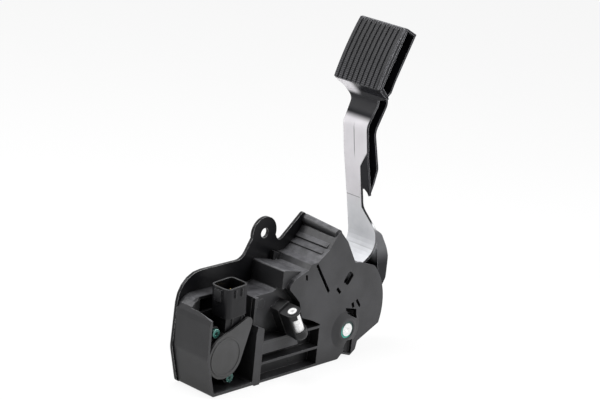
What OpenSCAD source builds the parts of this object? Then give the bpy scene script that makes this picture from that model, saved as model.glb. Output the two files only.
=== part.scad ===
// Accelerator pedal with a moulded housing on a flat steel side plate.
// A channel-section arm turns on a steel shaft between the two cheeks of the
// housing, twin coil springs push it back, and a link carries its angle to a
// position sensor with a six-way inlet at the other end of the housing.
// X runs along the housing towards the pivot, Z is up, and the mounting face
// of the plate lies in the plane Y = 0 with the housing on its -Y side.
// The pivot axis crosses the mounting face at the origin.

/* [Mounting plate] */
// Thickness of the steel side plate
plate_t = 3; // [2:0.5:4]
// Diameter of the fixing hole in the ear
ear_hole_d = 9; // [6:0.5:11]
// Radius of the rounded ear
ear_r = 14.8; // [13:0.1:18]
// Height of the plate's flat top edge above the pivot
plate_top_z = 71.4; // [66:0.1:76]

/* [Housing] */
// Depth from the mounting face to the outer cheek
case_w = 45; // [43:0.5:50]
// Thickness of the outer cheek
cheek_t = 3; // [2:0.25:4]
// Thickness of the other moulded walls
wall_t = 2.5; // [2:0.25:3]
// Depth from the mounting face to the ribbed pocket's back wall
pocket_w = 34; // [33:0.5:38]
// Thickness of the pocket's ribs
rib_t = 2.2; // [1.5:0.1:3]
// Distance of the sensor end from the pivot
sensor_end_x = 172.8; // [168:0.2:180]
// Depth of the closed chamber behind the sensor bay
chamber_w = 16; // [15.5:0.1:17]
// Radius of the round cheek at the pivot end
cheek_r = 56; // [54:0.5:60]
// Height of the pivot boss above the outer cheek
boss_h = 3; // [1:0.25:4]

/* [Pivot] */
// Diameter of the steel pivot shaft
shaft_d = 12; // [10:0.5:13]
// Wall thickness of the two bearing bushes
bush_t = 2; // [1.5:0.25:2.5]
// Running clearance of the shaft in its bushes, on the radius
run_c = 0.06; // [0.03:0.01:0.09]
// Outer diameter of the arm's hub
hub_d = 30; // [27:0.5:32]
// Travel of the pedal from rest to its stop, in degrees
travel = 17; // [12:0.5:18]

/* [Arm] */
// Depth from the mounting face to the arm's far edge
arm_w0 = 8; // [7.5:0.25:10]
// Width of the arm above its waist
arm_width = 28; // [24:0.5:30]
// Width of the front face at the waist
waist_width = 17.6; // [14:0.2:20]
// Thickness of the arm's flanges
flange_t = 2.6; // [2:0.1:3.5]
// Thickness of the arm's web
web_t = 3; // [2:0.25:4]

/* [Pad] */
// Width of the pad
pad_width = 53.5; // [44:0.5:60]
// Length of the pad's tread
pad_len = 59; // [50:0.5:66]
// Thickness of the pad under its ridges
pad_t = 2.2; // [2:0.1:4]
// Lean of the pad above the X axis, in degrees
pad_angle = 62.5; // [58:0.5:66]
// Rise of the tread's crown between its two ends
pad_crown = 1.8; // [0:0.2:3]
// Number of ridges across the pad
ridge_count = 10; // [8:1:12]
// Height of the ridges
ridge_h = 1.1; // [0.6:0.1:1.6]

/* [Springs] */
// Outer diameter of the outer return spring
spring_d = 18; // [15:0.5:18]
// Wire diameter of the outer return spring
wire_d = 2; // [1.4:0.1:2.2]
// Coils of the outer return spring
spring_coils = 6; // [5:0.5:8]

/* [Sensor] */
// Radius of the round part of the sensor cover
cover_r = 20; // [18:0.25:21]
// Width of the connector shell along X
inlet_x = 25.5; // [20:0.5:27]
// Depth of the connector shell along Y
inlet_y = 22; // [17:0.5:23]
// Wall of the connector shell
inlet_t = 1.6; // [1.2:0.1:2]
// Length of the crank on the arm and of the lever on the rotor
crank_r = 20.6; // [19.8:0.1:21]

/* [Slanted pin] */
// Diameter of the steel pin in the slanted boss
pin_d = 10.4; // [9:0.2:12]
// Length of the steel pin in the slanted boss
pin_len = 27; // [25:0.5:32]

/* [Hidden] */
$fn = 64;

fit_c = 0.05;
seat_c = 0.2;
case_floor_z = -28.2;

// Outline helpers

function unit(v) = v / norm(v);
function xy(p) = [p[0], p[1]];

// Points of a fillet of radius r at corner b between a and c
function fillet(a, b, c, r, n) =
    let (
        u = unit(xy(a) - xy(b)),
        v = unit(xy(c) - xy(b)),
        half = acos(u * v) / 2,
        centre = xy(b) + unit(u + v) * r / sin(half),
        s = xy(b) + u * r / tan(half) - centre,
        e = xy(b) + v * r / tan(half) - centre,
        a0 = atan2(s[1], s[0]),
        turn = (atan2(e[1], e[0]) - a0 + 540) % 360 - 180
    )
    [for (i = [0:n]) centre + r * [cos(a0 + turn * i / n), sin(a0 + turn * i / n)]];

// Closed outline whose points are [x, z, fillet radius]
function rounded(pts, n = 5) =
    let (k = len(pts))
    [for (i = [0:k - 1])
        let (b = pts[i])
        each (is_num(b[2]) && b[2] > 0 ? fillet(pts[(i + k - 1) % k], b, pts[(i + 1) % k], b[2], n)
            : [xy(b)])];

// Open path whose inner points are [x, z, fillet radius]
function path(pts, n = 5) =
    let (k = len(pts))
    [for (i = [0:k - 1])
        let (b = pts[i])
        each (i > 0 && i < k - 1 && is_num(b[2]) && b[2] > 0
            ? fillet(pts[i - 1], b, pts[i + 1], b[2], n) : [xy(b)])];

// Direction of travel at point i of an open path
function heading(p, i) = unit(p[min(i + 1, len(p) - 1)] - p[max(i - 1, 0)]);
function shifted(p, t) =
    [for (i = [0:len(p) - 1]) let (h = heading(p, i)) p[i] + t * [h[1], -h[0]]];
// Strip of thickness t to the right of an open path
function strip(p, t) = concat(p, [for (i = [len(p) - 1:-1:0]) shifted(p, t)[i]]);

function turned(p, a) =
    [p[0] * cos(a) + p[1] * sin(a), p[1] * cos(a) - p[0] * sin(a)];

// Solid between two depths from the mounting face, drawn in X and Z
module slab(w0, w1) {
    translate([0, -w0, 0])
        rotate([90, 0, 0])
            linear_extrude(w1 - w0)
                children();
}

module rod(p, w0, w1, r) {
    translate([p[0], -w0, p[1]])
        rotate([90, 0, 0])
            cylinder(h = w1 - w0, r = r);
}

// Solid between two X positions, drawn in depth and Z
module crosswise(x0, x1) {
    translate([x0, 0, 0])
        rotate([90, 0, 90])
            linear_extrude(x1 - x0)
                mirror([1, 0])
                    children();
}

// Driving points of the housing

pivot = [0, 0];
shaft_r = shaft_d / 2;
bush_r = shaft_r + bush_t;
hub_r = hub_d / 2;
inner_w = case_w - cheek_t;
far_cheek_w = plate_t + wall_t + 0.5;
block_w = case_w - 4;
bead_far = [-21.4, 96];
bead_near = [-20.3, 92.2];
bead_r = 4.8;
ear = [-72.6, 91.4];
case_top_z = 53;
bay_right_x = -112;
post_right_x = -106;
lattice_right_x = -35;
rib_z = [10.6, -9, case_floor_z + rib_t];
floor_left = [18.7, -12.6];
floor_right = [45.5, -0.6];
slope_foot = [-53, 63.5];
slope_head = [-39.4, 73.4];
step_foot = [-37.1, 76.3];
step_head = [-32.2, 81.1];
block_left = -84.4;
block_top_z = 70.3;

// Stepped top from the bead down to the block, and the front wall below the bead
top_path = path([
    [4.5, 62.2], [-8.4, 84.2, 5], [-18.4, 94.6, 2], [-23.6, 91, 0.6], [-22.4, 88.2, 0.6],
    [-26.6, 87.2, 0.8], [step_head[0] - 0.6, step_head[1] + 1.2, 0.8],
    [step_head[0] + 0.4, step_head[1] - 0.6, 0.4], [step_head[0] - 1.6, step_head[1] - 1.4, 0.4],
    [step_foot[0] - 1.6, step_foot[1] + 1.4, 1], [step_foot[0] - 0.6, step_foot[1] - 1.6, 0.4],
    [slope_head[0] - 0.8, slope_head[1] - 0.4, 0],
    [slope_foot[0], slope_foot[1], 2], [block_left, block_top_z, 1.5],
    [block_left, 51, 1.5], [-89, 49.5, 2], [-109, 49.5]
]);

// Outer cheek, with a round end about its own centre
cheek_centre = [-7.4, 14.5];
cheek_turn = [46, -18.5];
cheek_arc = [for (i = [0:16])
    cheek_centre + cheek_r * [cos(cheek_turn[0] + (cheek_turn[1] - cheek_turn[0]) * i / 16),
        sin(cheek_turn[0] + (cheek_turn[1] - cheek_turn[0]) * i / 16)]];
cheek_pts = [
    [-19.6, 96.2, 2.5], [-8.4, 84.4, 5], [4.5, 62.6, 2], [13.8, 61, 4],
    for (p = cheek_arc) [p[0], p[1], 0], [18.7, -15.6, 1.5], [16.9, -23.4, 1.5], [10.4, -28, 2],
    [-1.5, -24, 2], [-6.1, case_floor_z, 1.5], [lattice_right_x, case_floor_z, 0],
    [lattice_right_x, rib_z[0] + 1.4, 0], [-45, 17.3, 4], [-60, 23, 6], [-64.5, 38.7, 6],
    [-80, 54, 3], [-74, 60.5, 3], [-57, 66.8, 1], [-53.5, 71.6, 1.5],
    [-45.5, 72, 2], [-38.6, 76.3, 1], [step_head[0] + 0.4, step_head[1], 1], [-25.5, 90.1, 1]
];

// Casing behind the cheek, from the sensor end to the pivot end
function case_outline(inset) =
    rounded([
        [-163.5 + inset, case_floor_z + inset, 3],
        [-168 + inset, -11, 8],
        [-sensor_end_x + inset, 8, 14],
        [-sensor_end_x + inset, case_top_z - inset, 15 - inset],
        [-128, case_top_z - inset, 6],
        [-112, 49.5 - inset, 6],
        [lattice_right_x, 49.5 - inset, 0],
        [lattice_right_x, case_floor_z + inset, 0]
    ]);

// Plate fixing screws, seated in bosses of the housing
screw_at = [[-158, -18], [-98, -19], [-57, -18], [-102, 41]];
screw_r = 2;
screw_head_r = 3.8;
screw_boss_r = 4.6;
screw_len = 12;

// Slanted pin: its axis lies in an XZ plane in front of the cheek
pin_top = [-82.9, 36.8];
pin_lean = -28.5;
pin_w = case_w + 9;
cradle_r = pin_d / 2 + 2;
cradle_len = pin_len + 4;
cradle_window = [5.6, 15.4];
hook_gap = 1.4;

module along_pin() {
    translate([pin_top[0], 0, pin_top[1]])
        rotate([0, pin_lean, 0])
            children();
}

// Driving points of the arm

arm_w1 = arm_w0 + arm_width;
drum_w = inner_w - 0.7;
web_w1 = arm_w0 + 16;
web_w0 = web_w1 - web_t;
pad_w0 = -2;
pad_w1 = pad_w0 + pad_width;
pad_foot = [4, 222.7];
function pad_pt(s, n) =
    pad_foot + s * [cos(pad_angle), sin(pad_angle)] + n * [sin(pad_angle), -cos(pad_angle)];
pad_box_d = 13.9;
pad_rim_t = 1.9;

neck_tip = [13.9, 214.5];
front_pts = [
    pad_pt(1.5, 1), [neck_tip[0], neck_tip[1], 2], [18.2, 206, 8], [9.8, 184.5, 9], [14.8, 157, 60],
    [25.5, 112, 80], [34.8, 69, 16], [14, 56, 8], [-8, 38, 10], [-17, 16]
];
front_path = path(front_pts);
back_pts = [
    pad_pt(14, pad_box_d - 0.4), [35, 205, 12], [22.6, 178, 14],
    [31.8, 143, 30], [36.6, 116, 40], [42, 92.5, 20], [49.8, 68, 24],
    [54, 50, 16], [54, 40, 10], [49.5, 31.5, 4], [26, 7.5]
];
back_path = path(back_pts);
drum_pts = [
    [32.4, 88], [41, 82.2, 12], [50.4, 67, 40], [55.8, 52, 20], [55.4, 42, 12], [49.5, 31.5, 4],
    [26, 7.5]
];
sector_foot = [26, 7.5];
sector_tip = [49.5, 31.5];

tail_x0 = -50;
tail_top_z = 16;
tail_floor_z = -10;
tail_w0 = 13.2;
tail_gap = 0.5;
tail_w1 = pocket_w - wall_t - tail_gap;
spring_x = -33;
spring_w = tail_w1 - spring_d / 2;
seat_t = 2.2;
cap_z = 60;
cap_t = 3.4;
crown_z = cap_z + cap_t;
spring_z0 = tail_top_z + seat_t;

// Linkage: crank and lever have the same length and lean, so the link stays parallel
sensor_axis = [-148, 4.5];
crank_lean = 104;
crank_pin = crank_r * [cos(crank_lean), sin(crank_lean)];
lever_pin = sensor_axis + crank_pin;
link_w0 = far_cheek_w + 2.6;
link_t = 3.6;
link_w1 = link_w0 + link_t;
link_r = 5.4;
stud_r = 2.6;
lever_w0 = link_w1 + 0.4;
lever_w1 = chamber_w - 0.4;
rotor_r = 5;

// Sensor

sensor_w0 = chamber_w + wall_t;
cover_w = case_w - 3;
cover_t = 2.2;
body_w1 = cover_w - cover_t;
corner_at = [-124, 30.5];
corner_r = 5.2;
flange_w = body_w1 - 4.8;
sensor_screw_at = [[-157.3, 26.4], [-136, -19]];
inlet_at = [-138.2, 39.5];
inlet_lean = -4;
inlet_h = 27;
inlet_lap = 2.7;
inlet_w0 = body_w1 + inlet_lap - inlet_y;
inlet_floor = 8;
inlet_corner = 5;
pin_pitch_x = 4.4;
pin_pitch_y = 7;

// Round part and corner of the sensor, joined by their common tangents
function tangent_side(c0, r0, c1, r1, side) =
    let (
        d = c1 - c0,
        a = atan2(d[1], d[0]) + side * acos((r0 - r1) / norm(d))
    )
    [c0 + r0 * [cos(a), sin(a)], c1 + r1 * [cos(a), sin(a)]];

module teardrop(grow) {
    r0 = cover_r + grow;
    r1 = corner_r + grow;
    left = tangent_side(sensor_axis, r0, corner_at, r1, 1);
    right = tangent_side(sensor_axis, r0, corner_at, r1, -1);
    translate(sensor_axis)
        circle(r0);
    translate(corner_at)
        circle(r1);
    polygon([left[0], left[1], right[1], right[0]]);
}

module rounded_rect(size, r) {
    hx = size[0] / 2;
    hy = size[1] / 2;
    polygon(rounded([[-hx, -hy, r], [hx, -hy, r], [hx, hy, r], [-hx, hy, r]]));
}

module plate_outline() {
    polygon(rounded([
        [-165, case_floor_z, 4], [-174, 6, 20], [-171.4, plate_top_z - 0.6, 26],
        [-97.5, plate_top_z, 12], [-87, 89, 0], ear, [-58, 87, 0], [-53.6, 79.5, 5],
        [-24.8, 103.6, 3], [-12, 93, 6], [4, 64, 4], [33, 56, 12], [46, 34, 24],
        [46, 4, 16], [18, -13, 4], [14, case_floor_z, 4]
    ]));
}

module mounting_plate() color([0.06, 0.06, 0.07]) {
    difference() {
        union() {
            slab(0, plate_t)
                plate_outline();
            rod(ear, 0, plate_t, ear_r);
        }
        rod(ear, -1, plate_t + 1, ear_hole_d / 2);
        for (p = screw_at) {
            rod(p, -1, plate_t + 1, screw_r + 0.3);
            translate([p[0], 0, p[1]])
                rotate([90, 0, 0])
                    translate([0, 0, -0.01])
                        cylinder(h = screw_head_r - screw_r + 0.01, r1 = screw_head_r + 0.25,
                            r2 = screw_r + 0.25);
        }
    }
}

module plate_screws() color("silver") {
    for (p = screw_at) {
        translate([p[0], -0.1, p[1]])
            rotate([90, 0, 0])
                difference() {
                    union() {
                        cylinder(h = screw_head_r - screw_r, r1 = screw_head_r, r2 = screw_r);
                        cylinder(h = screw_len, r = screw_r);
                    }
                    translate([0, 0, -1])
                        cylinder(h = 2.2, r = 1.3, $fn = 6);
                }
    }
}

// Openings and slots that cut the outer cheek
module cheek_cuts() {
    slab(inner_w - 1, case_w + boss_h + 1) {
        translate([-37, 55.4])
            rotate(-56.5)
                rounded_rect([35, 3], 0.8);
        translate([-14.2, 39.4])
            rotate(-48)
                rounded_rect([8, 3], 1);
        translate([-2.4, 48.9])
            rotate(52)
                rounded_rect([12, 8.2], 2.4);
        polygon(rounded([[-2.6, 20.6, 0.8], [12.8, 16.8, 0.8], [13.8, 7.4, 0.8], [0.4, 14.4, 0.8]]));
        translate([7.4, 21.4])
            rotate(-66)
                rounded_rect([5.6, 3.2], 0.6);
        translate([14.4, 22])
            rotate(-54)
                rounded_rect([9.6, 2.6], 0.6);
        polygon(rounded([[0.6, -10.5, 0.8], [11.4, -12, 0.8], [11.4, -26.2, 0.8], [0.6, -23, 0.8]]));
        polygon(rounded([[-60.4, 63, 0.6], [-57.6, 62.6, 0.6], [-56.4, 56.4, 0.6], [-59.2, 58, 0.6]]));
    }
}

// Ribs, ledge and post in front of the pocket's back wall, and the bay's right rim
module lattice() {
    post_left_x = post_right_x - 8.8;
    rib_x0 = post_right_x - 4;
    slab(pocket_w - 1.1, case_w - 0.4)
        polygon([[rib_x0, -1.5], [-61, -1.5], [-66, rib_z[0] - 1], [rib_x0, rib_z[0] - 1]]);
    for (z = rib_z)
        slab(pocket_w - 1, case_w)
            translate([rib_x0, z - rib_t])
                square([lattice_right_x - rib_x0 + 1, rib_t]);
    slab(pocket_w - 1, case_w)
        polygon(rounded([
            [post_left_x, case_floor_z + 0.8, 0], [post_left_x, 26, 1],
            [post_right_x, 22.4, 1], [post_right_x, case_floor_z - 1.2, 0],
            [post_right_x - 6.6, case_floor_z - 1.2, 0]
        ]));
    slab(pocket_w - 1.3, pocket_w + 4)
        polygon([
            [bay_right_x - 1.6, 16], [bay_right_x - 1.6, 49.5], [bay_right_x + 2.6, 49.5],
            [bay_right_x - 0.4, 33], [bay_right_x + 2.2, 16]
        ]);
    slab(case_w - 3, case_w)
        polygon(rounded([
            [-162.2, case_floor_z + 1, 0], [-154.2, case_floor_z + 1, 0], [-154.2, -18.8, 2.5],
            [-164.4, -16.8, 1]
        ]));
}

// Solid envelope of the casing, before it is hollowed
module case_envelope() {
    slab(plate_t, pocket_w)
        polygon(case_outline(0));
    intersection() {
        slab(pocket_w - 1, case_w)
            polygon(case_outline(0));
        slab(pocket_w - 2, case_w + 1)
            translate([-200, -60])
                square([200 + bay_right_x - 2, 160]);
    }
    slab(plate_t, pocket_w)
        polygon(concat(top_path, [[-109, 30], [-20, 30], [4.5, 50]]));
    slab(pocket_w - 1.2, block_w)
        polygon(concat([for (p = top_path) if (p[1] > 54) p],
            [[block_left, 53], [-80, 54], [-64.5, 38.7], [-20, 30], [4.5, 50]]));
    slab(plate_t, case_w)
        polygon(rounded(cheek_pts));
}

// Space behind the pocket wall and in the block, open towards the mounting plate
module case_hollow() {
    floor_z = case_floor_z + wall_t;
    roof_z = 49.5 - wall_t;
    slab(plate_t - 1, chamber_w)
        polygon(case_outline(wall_t));
    slab(plate_t - 1, pocket_w - wall_t)
        polygon([
            [bay_right_x + wall_t, floor_z], [lattice_right_x, floor_z], [lattice_right_x, 58],
            [block_left + wall_t, 58], [block_left + wall_t, roof_z],
            [bay_right_x + wall_t, roof_z]
        ]);
    slab(plate_t - 1, block_w - wall_t)
        polygon([
            [block_left + wall_t, 57.4], [block_left + wall_t, block_top_z - 3.2], [-54, 61],
            [-50.6, 62.2], [-41, 69.4], [-38, 71], [lattice_right_x + 2, 72.6],
            [lattice_right_x + 2, 20], [-45, 24], [-56, 29], [-61, 42], [-75, 55]
        ]);
}

// Room for the arm, its sector and its tail between the cheeks
module arm_room() {
    floor_z = case_floor_z + wall_t;
    slab(far_cheek_w, pocket_w - wall_t)
        polygon([
            [90, 40], [90, -6], floor_right, floor_left, [15, floor_z],
            [lattice_right_x - 1, floor_z], [lattice_right_x - 1, 71.6], [-29, 74.4],
            [-20.4, 84.4], [-11.2, 81], [3.2, 58], [30, 70], [90, 80]
        ]);
    slab(pocket_w - wall_t - 1, inner_w)
        polygon([
            [91, 41], [91, -6.4], floor_right + [0, 0.2], floor_left + [0, 0.2],
            [14.9, floor_z + 0.2], [lattice_right_x + wall_t, floor_z + 0.2],
            [lattice_right_x + wall_t, 14], [-44.6, 20.2], [-57.6, 25.2], [-62, 39.8],
            [-71.5, 49.6], [-57.6, 57.2], [-38, 69], [-29.2, 74], [-20.2, 84],
            [-11.4, 80.7], [3, 57.8], [30.2, 70.4], [91, 81]
        ]);
}

// Shelf and ribs that carry the spring cap
module spring_shelf() {
    slab(far_cheek_w - 2.5, block_w - wall_t + 0.5) {
        translate([spring_x - 19, crown_z])
            square([33, wall_t]);
        polygon([
            [spring_x - 6, crown_z], [spring_x - 4, crown_z],
            [spring_x - 4, 74], [spring_x - 6, 72.4]
        ]);
        polygon([
            [spring_x + 12, crown_z], [spring_x + 14, crown_z],
            [spring_x + 14, 87], [spring_x + 12, 86]
        ]);
    }
}

module bay_room() {
    slab(sensor_w0, case_w + 1)
        polygon(rounded([
            [-161.5, case_floor_z + wall_t, 2], [-165.5, -11, 8],
            [-sensor_end_x + wall_t, 8, 12], [-sensor_end_x + wall_t, case_top_z + 5, 0],
            [bay_right_x - 2, case_top_z + 5, 0], [bay_right_x - 2, 24, 0],
            [bay_right_x - 3.2, 20, 0], [bay_right_x - 3.2, case_floor_z + wall_t, 2]
        ]));
    slab(sensor_w0 - wall_t, case_w + 1)
        translate([-161, 40])
            square([-161 * -1 + bay_right_x - 2, 30]);
    crosswise(-sensor_end_x - 5, -150)
        polygon([
            [21.5, case_top_z - 6], [case_w + 5, case_top_z - 11],
            [case_w + 5, case_top_z + 9], [sensor_w0 - wall_t, case_top_z + 9],
            [sensor_w0 - wall_t, case_top_z + 1]
        ]);
}

// Moulded body around the slanted steel pin, round at its lower end
module cradle() {
    along_pin() {
        translate([0, -pocket_w + 0.5, 0])
            rotate([90, 0, 0])
                linear_extrude(case_w - pocket_w - 0.4)
                    polygon(rounded([
                        [-cradle_r, -cradle_len + 1, 5], [cradle_r - 0.2, -cradle_len + 1, 5],
                        [cradle_r - 0.2, 2.4, 0.6], [-cradle_r, 2.4, 0.6]
                    ]));
        translate([0, -case_w + 0.5, 0])
            rotate([90, 0, 0])
                linear_extrude(pin_w - case_w - 0.5)
                    polygon(rounded([
                        [-cradle_r + 0.1, -cradle_len + 0.6, 5.5], [cradle_r - 0.1, -cradle_len + 0.6, 5.5],
                        [cradle_r - 0.1, 0, 0], [-cradle_r + 0.1, 0, 0]
                    ]));
        translate([0, -pin_w, -cradle_len])
            rotate_extrude()
                polygon(concat(
                    [[0, cradle_len], [0, 0]],
                    [for (a = [-80:20:0]) [cradle_r - 5 + 5 * cos(a), 5 + 5 * sin(a)]],
                    [[cradle_r, cradle_len]]
                ));
    }
}

// Pin hole and the window that leaves a hook over the pin
module cradle_cuts() {
    along_pin()
        translate([0, -pin_w, 0]) {
            translate([0, 0, -pin_len - seat_c])
                cylinder(h = pin_len + 4, r = pin_d / 2 + fit_c);
            translate([-pin_d / 2 - 1.1, -cradle_r - 1, -cradle_window[0] - cradle_window[1]])
                cube([2 * cradle_r + 2, cradle_r + 1.6, cradle_window[1]]);
            translate([-2, -cradle_r - 1, -cradle_window[0] - 1])
                cube([cradle_r + 3, cradle_r + 1.6, cradle_window[0] + 1 - hook_gap]);
        }
}

// Round bar across the top of the cheeks, lower at its near end
module bead_bar() {
    far_w = plate_t - 2;
    near_w = inner_w + 3;
    span = [bead_near[0] - bead_far[0], far_w - near_w, bead_near[1] - bead_far[1]];
    intersection() {
        translate([bead_far[0], -far_w, bead_far[1]])
            rotate([0, acos(span[2] / norm(span)), atan2(span[1], span[0])])
                cylinder(h = norm(span), r = bead_r);
        slab(plate_t, inner_w + 1)
            translate([-40, 80])
                square([40, 30]);
    }
}

// Small hooked lug on the slope beside the mounting plate
module plate_lug() {
    slab(plate_t, plate_t + 4)
        polygon([[-63, 62], [-55, 62], [-55, 71], [-62.4, 74]]);
    slab(plate_t, plate_t + 7)
        polygon([[-60, 64], [-58.6, 63.4], [-54, 71.4], [-55.2, 72.2]]);
}

module housing() color([0.2, 0.2, 0.21]) {
    difference() {
        union() {
            difference() {
                union() {
                    case_envelope();
                    lattice();
                    bead_bar();
                }
                case_hollow();
                arm_room();
                bay_room();
            }
            spring_shelf();
            translate([0, -case_w + 1, 0])
                rotate([90, 0, 0])
                    cylinder(h = boss_h + 1, r1 = bush_r + 13, r2 = bush_r + 2);
            rod(pivot, plate_t, far_cheek_w + 1.4, bush_r + 3);
            for (p = screw_at)
                rod(p, plate_t, (p[0] < bay_right_x ? chamber_w : pocket_w) - 1 + wall_t / 2, screw_boss_r);
            cradle();
            plate_lug();
        }
        cheek_cuts();
        rod(pivot, plate_t - 1, case_w + boss_h + 1, bush_r + fit_c);
        for (p = screw_at)
            rod(p, plate_t - 1, plate_t + screw_len, screw_r + fit_c);
        cradle_cuts();
        rod(sensor_axis, chamber_w - 1, sensor_w0 + 1, rotor_r + 0.4);
        for (p = sensor_screw_at)
            rod(p, chamber_w - 1, sensor_w0 + 1, screw_r + fit_c);
    }
}

module bush(w0, w1) {
    difference() {
        rod(pivot, w0, w1, bush_r);
        rod(pivot, w0 - 1, w1 + 1, shaft_r + run_c);
    }
}

module near_bush() color([0.12, 0.45, 0.4])
    bush(inner_w - 1, case_w + boss_h - 0.6);

module far_bush() color([0.12, 0.45, 0.4])
    bush(plate_t, far_cheek_w + 1.4);

module slanted_pin() color("silver")
    along_pin()
        translate([0, -pin_w, -pin_len])
            difference() {
                cylinder(h = pin_len + 0.4, r = pin_d / 2);
                translate([0, 0, pin_len - 0.4])
                    cylinder(h = 1.6, r1 = 0.4, r2 = 2.6);
            }

module rest_bumper() color([0.08, 0.08, 0.08]) {
    z0 = case_floor_z + wall_t;
    translate([-42, -spring_w, z0])
        cylinder(h = tail_floor_z - seat_c - z0, r = 5);
}

// Rubber block that the sector meets at full travel
module travel_bumper() color([0.08, 0.08, 0.08]) {
    a = turned(sector_foot, travel);
    b = turned(sector_tip, travel);
    down = unit([b[1] - a[1], a[0] - b[0]]);
    p = a + 0.1 * (b - a) + seat_c * down;
    q = a + 0.5 * (b - a) + seat_c * down;
    wall_dir = unit(floor_right - floor_left);
    pf = floor_left + wall_dir * ((p - floor_left) * wall_dir);
    qf = floor_left + wall_dir * ((q - floor_left) * wall_dir);
    slab(spring_w - 7, spring_w + 7)
        polygon([pf, qf, q, p]);
}

module spring_cap() color([0.8, 0.78, 0.7])
    translate([spring_x, -spring_w, cap_z])
        difference() {
            union() {
                cylinder(h = cap_t, r = spring_d / 2);
                translate([0, 0, -4])
                    cylinder(h = 5, r = 3.6);
            }
            translate([0, 0, -5])
                cylinder(h = 6, r = 1.5);
        }

module spring_seat() color([0.8, 0.78, 0.7])
    translate([spring_x, -spring_w, tail_top_z])
        union() {
            cylinder(h = seat_t, r = spring_d / 2 - 1.4);
            cylinder(h = seat_t + 4, r = 3.6);
        }

// Round wire swept up a helix, with flat closed ends left to the finish
module coil(mean_r, wire, z0, z1, turns, sides = 8, steps = 20) {
    n = round(turns * steps);
    rise = z1 - z0 - wire;
    ring = [for (i = [0:n])
        let (a = 360 * turns * i / n, h = z0 + wire / 2 + rise * i / n)
        [for (k = [0:sides - 1])
            let (b = 360 * k / sides, r = mean_r + wire / 2 * cos(b))
            [r * cos(a), r * sin(a), h + wire / 2 * sin(b)]]];
    pts = [for (r = ring) each r];
    walls = [for (i = [0:n - 1], k = [0:sides - 1])
        [i * sides + k, (i + 1) * sides + k,
            (i + 1) * sides + (k + 1) % sides, i * sides + (k + 1) % sides]];
    ends = [[for (k = [0:sides - 1]) k],
        [for (k = [sides - 1:-1:0]) n * sides + k]];
    polyhedron(points = pts, faces = concat(walls, ends), convexity = 10);
}

module outer_return_spring() color([0.55, 0.56, 0.58])
    translate([spring_x, -spring_w, 0])
        coil((spring_d - wire_d) / 2, wire_d, spring_z0 + 0.1, cap_z - 0.1, spring_coils);

inner_spring_d = spring_d - 2 * wire_d - 1.6;
inner_wire_d = wire_d * 0.72;
module inner_return_spring() color([0.55, 0.56, 0.58])
    translate([spring_x, -spring_w, 0])
        mirror([0, 1, 0])
            coil((inner_spring_d - inner_wire_d) / 2, inner_wire_d, spring_z0 + 0.1,
                cap_z - 0.1, spring_coils + 1);

module inlet_frame() {
    translate([inlet_at[0], -inlet_w0 - inlet_y / 2, inlet_at[1]])
        rotate([0, inlet_lean, 0])
            children();
}

module sensor_body() color([0.13, 0.13, 0.14]) {
    difference() {
        union() {
            slab(sensor_w0, body_w1)
                teardrop(-1.4);
            slab(sensor_w0, flange_w)
                union() {
                    for (p = sensor_screw_at)
                        translate(p)
                            circle(5.6);
                    translate(sensor_axis)
                        rotate(atan2(sensor_screw_at[0][1] - sensor_screw_at[1][1],
                            sensor_screw_at[0][0] - sensor_screw_at[1][0]))
                            square([48, 9], center = true);
                }
            slab(inlet_w0 + 2, inlet_w0 + inlet_y - 4)
                polygon([
                    [inlet_at[0] - 10, inlet_at[1] + 2], [inlet_at[0] + 10, inlet_at[1] + 2],
                    [corner_at[0] + 2, corner_at[1]], [-148, 22]
                ]);
            for (x = [-141.5, -130.5])
                slab(body_w1 - 3, body_w1 - 0.4)
                    translate([x, 31])
                        square([1.4, 9.5]);
            inlet_frame()
                linear_extrude(inlet_h)
                    rounded_rect([inlet_x, inlet_y], inlet_corner);
            inlet_frame()
                for (x = [-4.5, 3.1])
                    translate([x, -inlet_y / 2 - 1.2, inlet_h - 9])
                        cube([1.4, 2, 7]);
            inlet_frame()
                translate([-inlet_x / 2 - 2, -4, inlet_h - 12])
                    cube([3, 8, 10]);
        }
        inlet_frame()
            translate([0, 0, inlet_floor])
                linear_extrude(inlet_h)
                    rounded_rect([inlet_x - 2 * inlet_t, inlet_y - 2 * inlet_t],
                        inlet_corner - inlet_t);
        inlet_frame()
            for (x = [-1:1], y = [-0.5, 0.5])
                translate([x * pin_pitch_x, y * pin_pitch_y, 2])
                    cylinder(h = inlet_floor, r = 0.7 + fit_c);
        for (p = sensor_screw_at)
            rod(p, sensor_w0 - 1, flange_w + 1, screw_r + 0.3);
        rod(sensor_axis, sensor_w0 - 1, body_w1 - 4, rotor_r + 0.5);
        rod(sensor_axis, body_w1 - 4.6, body_w1 + 1, cover_r - 5);
    }
}

module sensor_cover() color([0.24, 0.24, 0.25]) {
    slab(body_w1, cover_w)
        teardrop(0);
    difference() {
        rod(sensor_axis, cover_w - 0.01, cover_w + 0.5, cover_r - 2.6);
        rod(sensor_axis, cover_w - 1, cover_w + 1, cover_r - 3.8);
    }
}

module sensor_screws() color([0.2, 0.6, 0.5]) {
    for (p = sensor_screw_at) {
        difference() {
            union() {
                rod(p, chamber_w + 0.2, flange_w + 1, screw_r);
                rod(p, flange_w, flange_w + 2.6, 4);
            }
            translate([p[0], -flange_w - 1.2, p[1]])
                rotate([90, 0, 0])
                    cylinder(h = 3, r = 1.8, $fn = 6);
        }
    }
}

module connector_pins() color([0.83, 0.68, 0.35])
    inlet_frame()
        for (x = [-1:1], y = [-0.5, 0.5])
            translate([x * pin_pitch_x, y * pin_pitch_y, 2.2])
                cylinder(h = inlet_h - 9, r = 0.7);

module sensor_board() color([0.1, 0.35, 0.15])
    rod(sensor_axis, body_w1 - 4, body_w1 - 2.4, cover_r - 5.4);

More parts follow.
